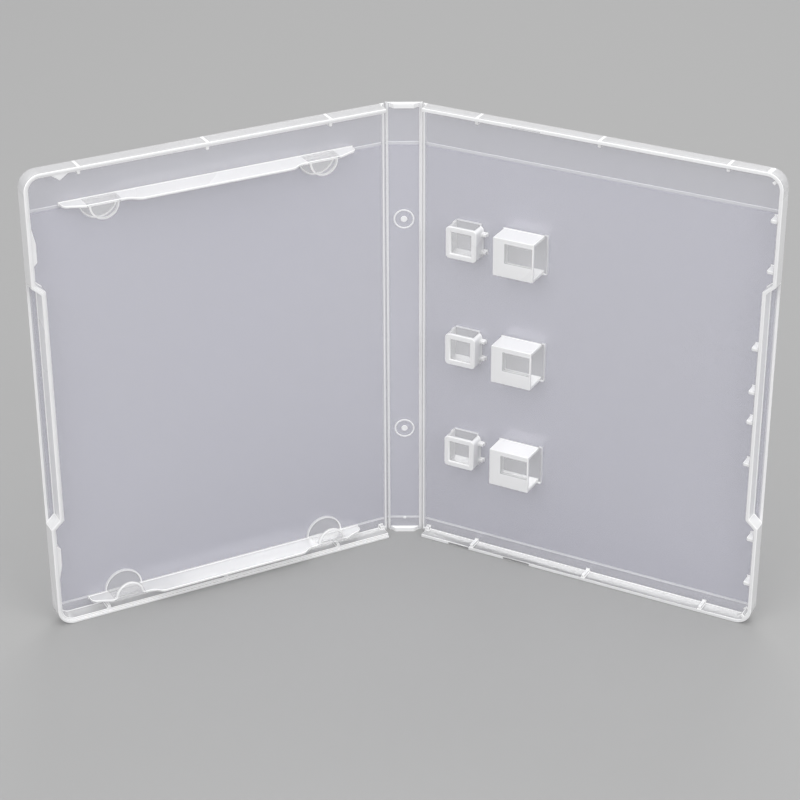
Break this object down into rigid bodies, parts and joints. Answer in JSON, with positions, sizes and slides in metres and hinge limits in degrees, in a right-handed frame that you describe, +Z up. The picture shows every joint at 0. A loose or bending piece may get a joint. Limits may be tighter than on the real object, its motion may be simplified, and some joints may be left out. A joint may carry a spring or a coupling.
{
  "type": "flash drive storage case",
  "caption": "Clear plastic hinged case standing half open like a book, with booklet ledges in one cover, rows of plug sockets and cap clips in the other, and a clear outer film sleeve.",
  "frame": {"origin": "middle of the spine's foot, where the case stands on the table", "axes": "+Z up the spine, +X across the spine towards the back cover with the drive holders, -Y into the open case"},
  "size_m": [0.2494, 0.0687, 0.1715],
  "materials": {
    "clear_plastic": "natural translucent polypropylene, smooth and glossy, whiter at edges and ribs",
    "clear_film": "thin glossy clear polypropylene film"
  },
  "bodies": {
    "spine": {"spine": "clear_plastic", "sleeve_spine": "clear_film"},
    "front": {"front_cover": "clear_plastic", "sleeve_front": "clear_film"},
    "back": {"back_cover": "clear_plastic", "sleeve_back": "clear_film"}
  },
  "joints": [
    {"name": "front_hinge", "type": "hinge", "parent": "spine", "child": "front", "pos_m": [-0.0064, 0.0011, 0.08575], "axis": [0, 0, 1], "range_deg": [-27.3, 62.7]},
    {"name": "back_hinge", "type": "hinge", "parent": "spine", "child": "back", "pos_m": [0.0064, 0.0011, 0.08575], "axis": [0, 0, -1], "range_deg": [-28.2, 61.8]}
  ]
}
